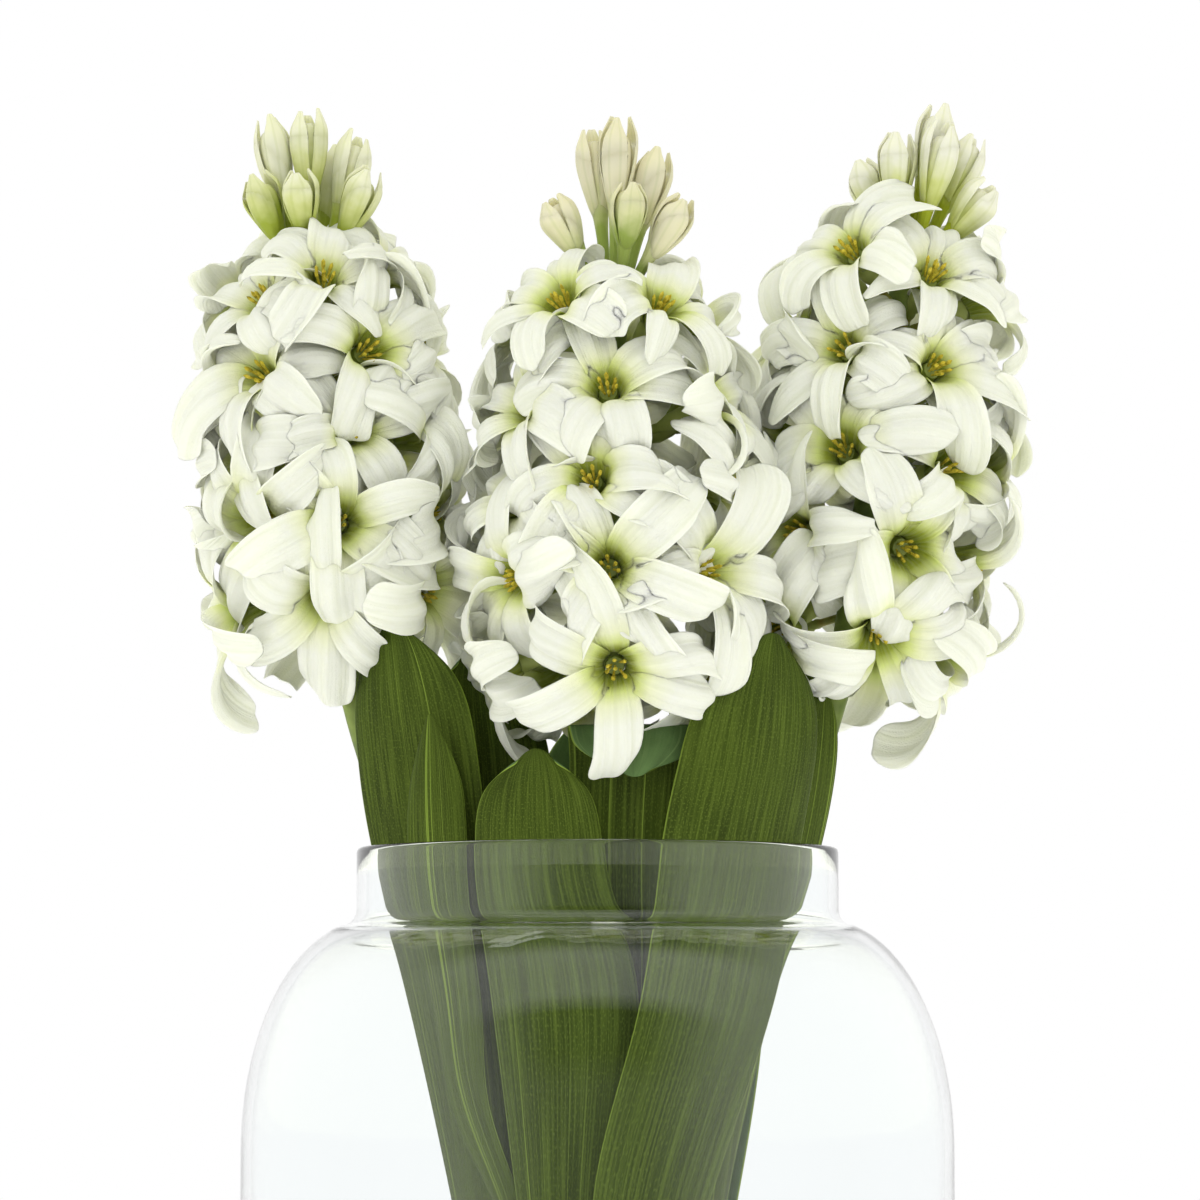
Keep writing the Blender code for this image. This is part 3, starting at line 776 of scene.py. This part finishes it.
def add_floret_throat(mesh, place, mouth, rng):
    """Stalk, swollen tube and stamens of one floret; faces of stamens take the second material."""
    sunk = STEM_RADIUS - 0.4
    profile = ((0, sunk), (1.05, sunk), (1.0, mouth * 0.34), (1.35, mouth * 0.38), (1.2, mouth * 0.43),
               (2.3, mouth * 0.52), (2.7, mouth * 0.66), (2.45, mouth - 6.5), (2.2, mouth - 5.2),
               (1.3, mouth - 5.0), (0, mouth - 4.8))
    add_turned(mesh, profile, 10, place)
    before = set(mesh.faces)
    for number in range(STAMENS):
        central = number == STAMENS - 1
        angle = math.radians(60 * number + rng.uniform(-12, 12))
        spread = 0.0 if central else rng.uniform(0.9, 1.5)
        lean = Matrix.Rotation(math.radians(0 if central else rng.uniform(8, 22)), 4, "Y")
        length = rng.uniform(3.0, 4.4)
        foot = Matrix.Translation((spread, 0, mouth - STAMEN_DEPTH))
        spot = Matrix.Rotation(angle, 4, "Z") @ foot @ lean
        rod = spot @ Matrix.Translation((0, 0, length / 2))
        bmesh.ops.create_cone(mesh, cap_ends=True, segments=5, radius1=0.3, radius2=0.36,
                              depth=length, matrix=place @ rod)
        tip = spot @ Matrix.Translation((0, 0, length + 0.4)) @ Matrix.Diagonal((0.5, 0.6, 1.5, 1))
        bmesh.ops.create_icosphere(mesh, subdivisions=1, radius=1, matrix=place @ tip)
    for face in mesh.faces:
        if face not in before:
            face.material_index = 1


def floret_places(plant, tier):
    """Matrix and distance to the mouth for each floret of a tier, scattered as if set by hand."""
    count, climb = TIERS[tier]
    rng = random.Random("place %s %d" % (plant.name, tier))
    for number in range(count):
        lift = climb + rng.uniform(-14, 12)
        mouth = plant.mouth * (1.05 - 0.022 * tier) + rng.uniform(-1.5, 1.5)
        bearing = plant.leads[tier] + 360 * number / count + (rng.uniform(-12, 12) if number else 0)
        behind = (1 + math.sin(math.radians(bearing))) / 2
        height = plant.first + plant.pitch * tier + rng.uniform(-2, 2) + behind * tier
        foot = height - mouth * math.sin(math.radians(lift))
        turn = Matrix.Rotation(math.radians(bearing), 4, "Z")
        tilt = Matrix.Rotation(math.radians(90 - lift), 4, "Y")
        yield spike_frame(plant, foot) @ turn @ tilt, mouth, rng.uniform(0.94, 1.06)


class HYACINTH_OT_florets(bpy.types.Operator):
    """Make the five tiers of florets on each stem"""
    bl_idname = "hyacinth.florets"
    bl_label = "Florets"

    def execute(self, context):
        settings = context.scene.hyacinth_flower
        cloth = petal_cloth(settings)
        tube, gold = tube_plastic(), stamen_plastic()
        for plant in PLANTS:
            for tier in range(len(TIERS)):
                label = "%s_%d" % (plant.name, tier + 1)
                rng = random.Random("floret " + label)
                petals, throats = new_mesh(), new_mesh()
                for place, mouth, size in floret_places(plant, tier):
                    add_floret_petals(petals, place, mouth, size, tier, settings, rng)
                    add_floret_throat(throats, place, mouth, rng)
                node = "florets_" + label
                finish_piece("petals_" + label, petals, [cloth], [node],
                             cloth=settings.petal_cloth, sharp=180)
                finish_piece("throats_" + label, throats, [tube, gold], [node],
                             levels=0)
        return {"FINISHED"}


# ---------------------------------------------------------------- buds

# share of a bud's length and the radius of its core there, in mm
BUD_CORE = ((0.0, 1.3), (0.12, 1.35), (0.28, 1.5), (0.4, 1.9), (0.52, 2.75), (0.64, 3.5), (0.74, 3.85),
            (0.82, 3.6), (0.87, 2.8), (0.893, 1.6))
BUD_DOME = 0.9
LOBE_FOOT = 0.4
LOBE_WALL = 1.3
LOBE_SPREAD = 61                   # half the angle that a lobe covers, in degrees
LOBE_COLUMNS = 4
LOBE_ROWS = 10


def core_radius(share):
    """Radius in mm of a bud's core at a share of its length."""
    for (low, first), (high, last) in zip(BUD_CORE, BUD_CORE[1:]):
        if share <= high:
            return first + (last - first) * (share - low) / (high - low)
    return BUD_CORE[-1][1]


def add_bud(mesh, place, length, shade, rng):
    """Round-topped core on a thick stalk, held by three thick lobes that close in over it."""
    shade += rng.uniform(-0.04, 0.08)
    tone = (shade + 0.07, rng.random())
    core = [(radius, share * length) for share, radius in BUD_CORE]
    add_turned(mesh, [(0, 0)] + core + [(0, length * BUD_DOME)], 12, place, tone)
    pattern = mesh.loops.layers.uv["pattern"]
    first = rng.uniform(0, 120)
    for number in range(3):
        middle = math.radians(first + 120 * number + rng.uniform(-8, 8))
        flare = rng.uniform(-0.2, 0.9)
        top = rng.uniform(0.97, 1.03)
        before = set(mesh.faces)

        def wrap(side, along):
            share = LOBE_FOOT + (top - LOBE_FOOT) * along
            spread = LOBE_SPREAD * (1 - 0.16 * smooth((along - 0.05) / 0.55))
            spread *= 1 - 0.6 * smooth((along - 0.74) / 0.26)
            angle = middle + side * math.radians(spread)
            radius = core_radius(min(share, 0.76)) + 0.3 + 0.75 * smooth((share - 0.5) / 0.25)
            radius += flare * smooth((along - 0.45) / 0.35) - 2.5 * smooth((along - 0.74) / 0.26)
            radius -= 0.9 * (1 - smooth(along / 0.2))
            radius -= 0.3 * side ** 2
            return place @ Vector((radius * math.cos(angle), radius * math.sin(angle), share * length))

        add_sheet(mesh, LOBE_COLUMNS, LOBE_ROWS, wrap, (shade - 0.07, tone[1]))
        sheet = [face for face in mesh.faces if face not in before]
        for face in sheet:
            for loop in face.loops:
                u, v = loop[pattern].uv
                loop[pattern].uv = (u * 0.3, LOBE_FOOT + (1 - LOBE_FOOT) * v)
        bmesh.ops.solidify(mesh, geom=sheet, thickness=LOBE_WALL)


class HYACINTH_OT_buds(bpy.types.Operator):
    """Make the closed buds at the tip of each stem"""
    bl_idname = "hyacinth.buds"
    bl_label = "Buds"

    def execute(self, context):
        for plant in PLANTS:
            material = bud_plastic(plant)
            for number, (bearing, tilt, length, drop) in enumerate(plant.buds):
                name = "bud_%s_%d" % (plant.name, number + 1)
                rng = random.Random(name)
                tilt = math.radians(tilt)
                out = STEM_TIP_RADIUS + 0.1 * drop + math.cos(tilt) if drop else 0.0
                turn = Matrix.Rotation(math.radians(bearing), 4, "Z")
                place = Matrix.Translation((out, 0, 0.3 - drop)) @ Matrix.Rotation(tilt, 4, "Y")
                mesh = new_mesh()
                place = spike_frame(plant, plant.tip) @ turn @ place
                add_bud(mesh, place, length, plant.greens[number], rng)
                finish_piece(name + "_moulded", mesh, [material], [name])
        return {"FINISHED"}


# ---------------------------------------------------------------- leaves

LEAF_COLUMNS = 10
LEAF_ROWS = 44
LEAF_CUP = 0.1
LEAF_FOOT = 6.0                    # width at the stem


def leaf_knots(leaf):
    """The leaf's knots, with the one at its foot worked out from its stem."""
    plant = next(plant for plant in PLANTS if plant.name == leaf.plant)
    bearing = math.radians(leaf.bearing)
    out = Vector((math.cos(bearing), math.sin(bearing), 0))
    foot = stem_at(plant, leaf.height) + out * (STEM_RADIUS + 0.9)
    first = leaf.knots[0][4]
    yaw = (leaf.bearing + 90 - first + 180) % 360 - 180 + first
    return ((*foot, LEAF_FOOT, yaw),) + leaf.knots


def make_leaf(leaf, materials, settings):
    """One leaf: a channelled strip with a rounded tip and slow waves along its edges."""
    rng = random.Random(leaf.name)
    knots = leaf_knots(leaf)
    phase = rng.uniform(0, 20)
    wave = rng.uniform(0.7, 1.2)

    def bend(side, along):
        share = 1 - (1 - along) ** 1.25
        tip = smooth((share - 0.86) / 0.14)
        reach = share * (1 - 0.035 * side ** 2 * tip)
        x, y, z, width, yaw = through(knots, reach)
        rounding = 1 - max(0.0, (share - 0.84) / 0.16) ** 2.2
        width *= max(0.1, rounding) ** 0.5
        yaw = math.radians(yaw)
        across = side * width / 2
        sink = LEAF_CUP * width * side ** 2 + (1 - share) ** 4 * side ** 2
        sink += 0.9 * math.sin(share * 17 * wave + phase) * abs(side) ** 3 * smooth(share * 2)
        sink += 0.6 * noise.noise(Vector((side * 1.3, share * 6, phase))) * smooth(share * 2)
        return Vector((x + across * math.cos(yaw) - sink * math.sin(yaw),
                       y + across * math.sin(yaw) + sink * math.cos(yaw), z))

    mesh = new_mesh()
    add_sheet(mesh, LEAF_COLUMNS, LEAF_ROWS, bend, (rng.uniform(0, 9), rng.uniform(0, 9)))
    finish_piece(leaf.name + "_cloth", mesh, materials, [leaf.name],
                 cloth=settings.cloth, back=1, sharp=180)


class HYACINTH_OT_leaves(bpy.types.Operator):
    """Make the leaves"""
    bl_idname = "hyacinth.leaves"
    bl_label = "Leaves"

    def execute(self, context):
        settings = context.scene.hyacinth_leaf
        green, vein, under = tuple(settings.green), tuple(settings.vein), tuple(settings.under)
        front = leaf_cloth("printed_leaf_front", green, vein, 0.6)
        back = leaf_cloth("printed_leaf_back", under, linear("7C9660"), 0.35)
        for leaf in LEAVES:
            make_leaf(leaf, [front, back], settings)
        return {"FINISHED"}


# ---------------------------------------------------------------- stage

VIEW_CENTRE = 0.6 * MM             # x of the line of sight


def add_lamp(name, place, aim, size, power, colour, mirrored=False):
    """Soft light that points at a spot; only a mirrored one is seen in the glass."""
    lamp = bpy.data.lights.new(name, "AREA")
    lamp.shape = "RECTANGLE"
    lamp.size, lamp.size_y = size
    lamp.energy = power
    lamp.color = linear(colour)
    item = bpy.data.objects.new(name, lamp)
    item.location = place
    item.rotation_euler = (Vector(aim) - Vector(place)).to_track_quat("-Z", "Y").to_euler()
    item.visible_glossy = item.visible_transmission = mirrored
    bpy.context.scene.collection.objects.link(item)


class HYACINTH_OT_stage(bpy.types.Operator):
    """Make the camera, the soft lights and the pale floor"""
    bl_idname = "hyacinth.stage"
    bl_label = "Stage"

    def execute(self, context):
        scene = context.scene
        settings = scene.hyacinth_stage
        scene.view_settings.view_transform = "Standard"
        middle = (CAD_BOX[0][0] + CAD_BOX[1][0]) / 2
        aim = Vector((VIEW_CENTRE, 0, settings.aim))
        spot = Vector((VIEW_CENTRE, -settings.distance, settings.height))
        view = bpy.data.cameras.new("camera")
        view.sensor_width = 36
        view.lens = view.sensor_width * (aim - spot).length / settings.width
        view.clip_start = 0.05
        camera = bpy.data.objects.new("camera", view)
        camera.location = spot
        camera.rotation_euler = (aim - spot).to_track_quat("-Z", "Y").to_euler()
        scene.collection.objects.link(camera)
        scene.camera = camera
        target = (middle, 0, settings.aim)
        add_lamp("key", (-0.55, -0.85, 1.75), target, (1.0, 1.0), settings.key, "E9F0FF")
        add_lamp("fill", (1.0, -1.3, 0.6), target, (0.9, 0.9), settings.key * 0.25, "FAFCFF")
        add_lamp("front", (-0.1, -1.7, 0.7), target, (1.4, 1.0), settings.key * 0.6, "FBFCFF")
        add_lamp("rear", (0.25, 1.0, 1.5), target, (1.2, 0.8), settings.key * 0.5, "FFFFFF")
        add_lamp("glint", (-0.35, 0.3, 1.55), target, (0.4, 0.12), settings.key * 0.1, "FFFFFF", True)
        self.make_world(scene)
        self.make_floor(scene)
        return {"FINISHED"}

    def make_world(self, scene):
        """White all round, with the dark and pale parts of a studio mirrored in the glass."""
        world = bpy.data.worlds.new("white_room")
        scene.world = world
        world.use_nodes = True
        tree = world.node_tree
        tree.nodes.clear()
        ray = add(tree, "SeparateXYZ", {0: add(tree, "TexCoord").outputs["Generated"]})
        ahead = add(tree, "Math", {0: ray.outputs[1], 1: -1.0}, operation="MULTIPLY")
        # 0 is the horizon in front, 0.5 straight up and 1 the horizon behind
        lift = add(tree, "Math", {0: ray.outputs[2]}, operation="ABSOLUTE")
        climb = add(tree, "Math", {0: lift, 1: ahead}, operation="ARCTAN2")
        climb = add(tree, "Math", {0: climb, 1: math.pi}, operation="DIVIDE")
        room = add(tree, "ValToRGB", {0: climb}, stops=(
            (0.0, grey(0.2)), (0.1, grey(0.2)), (0.16, grey(0.06)), (0.25, grey(0.06)), (0.3, grey(1.0)),
            (0.46, grey(1.0)), (0.54, grey(0.1)), (0.8, grey(0.5)), (0.9, grey(1.0))))
        side = add(tree, "Math", {0: ray}, operation="ABSOLUTE")
        wings = add(tree, "MapRange", {0: side, 1: 0.2, 2: 0.8},
                    interpolation_type="SMOOTHSTEP")
        mirrored = add(tree, "Mix", {0: wings, 2: room, 3: 1.0})
        path = add(tree, "LightPath")
        # cloth is lit, and the backdrop seen, at full white
        lit = add(tree, "Mix", {0: path.outputs["Is Diffuse Ray"], 2: mirrored, 3: 1.0})
        strength = add(tree, "Mix", {0: path.outputs["Is Camera Ray"], 2: lit, 3: 1.0})
        tint = add(tree, "Mix", {0: path.outputs["Is Diffuse Ray"], 6: (1, 1, 1, 1),
                                           7: (*linear("F7F8E2"), 1.0)}, data_type="RGBA")
        white = add(tree, "Background", {0: tint.outputs[2], 1: strength})
        add(tree, "OutputWorld", {0: white})

    def make_floor(self, scene):
        """Plain pale round floor."""
        mesh = bmesh.new()
        bmesh.ops.create_circle(mesh, cap_ends=True, radius=3, segments=96)
        for vertex in mesh.verts:
            vertex.co.z = -0.2 * MM
        data = bpy.data.meshes.new("floor")
        mesh.to_mesh(data)
        mesh.free()
        material, _, shader = new_material("matt_white_floor", Roughness=0.9)
        shader.inputs["Base Color"].default_value = (*linear("F4F4F3"), 1.0)
        # a sweep lit from beneath, so that it is as white as the room
        shader.inputs["Emission Color"].default_value = (1, 1, 1, 1)
        shader.inputs["Emission Strength"].default_value = 0.35
        data.materials.append(material)
        floor = bpy.data.objects.new("floor", data)
        scene.collection.objects.link(floor)


# ---------------------------------------------------------------- add-on

OPERATORS = (HYACINTH_OT_vase, HYACINTH_OT_stems, HYACINTH_OT_florets, HYACINTH_OT_buds,
             HYACINTH_OT_leaves, HYACINTH_OT_stage)


class HYACINTH_PT_panel(bpy.types.Panel):
    """Lists the pieces and their settings"""
    bl_idname = "HYACINTH_PT_panel"
    bl_label = "Hyacinth"
    bl_space_type = "VIEW_3D"
    bl_region_type = "UI"
    bl_category = "Hyacinth"

    def draw(self, context):
        layout = self.layout
        for operator in OPERATORS:
            layout.operator(operator.bl_idname)
        for attribute, group in SETTINGS.items():
            box = layout.box()
            box.label(text=group.__doc__)
            for key in group.__annotations__:
                box.prop(getattr(context.scene, attribute), key)


def register():
    for group in SETTINGS.values():
        bpy.utils.register_class(group)
    for attribute, group in SETTINGS.items():
        setattr(bpy.types.Scene, attribute, PointerProperty(type=group))
    for operator in OPERATORS:
        bpy.utils.register_class(operator)
    bpy.utils.register_class(HYACINTH_PT_panel)


def unregister():
    bpy.utils.unregister_class(HYACINTH_PT_panel)
    for operator in reversed(OPERATORS):
        bpy.utils.unregister_class(operator)
    for attribute, group in SETTINGS.items():
        delattr(bpy.types.Scene, attribute)
        bpy.utils.unregister_class(group)


def main():
    register()
    bpy.ops.hyacinth.vase()
    bpy.ops.hyacinth.stems()
    bpy.ops.hyacinth.florets()
    bpy.ops.hyacinth.buds()
    bpy.ops.hyacinth.leaves()
    bpy.ops.hyacinth.stage()
    bpy.context.view_layer.update()


if __name__ == "__main__":
    main()
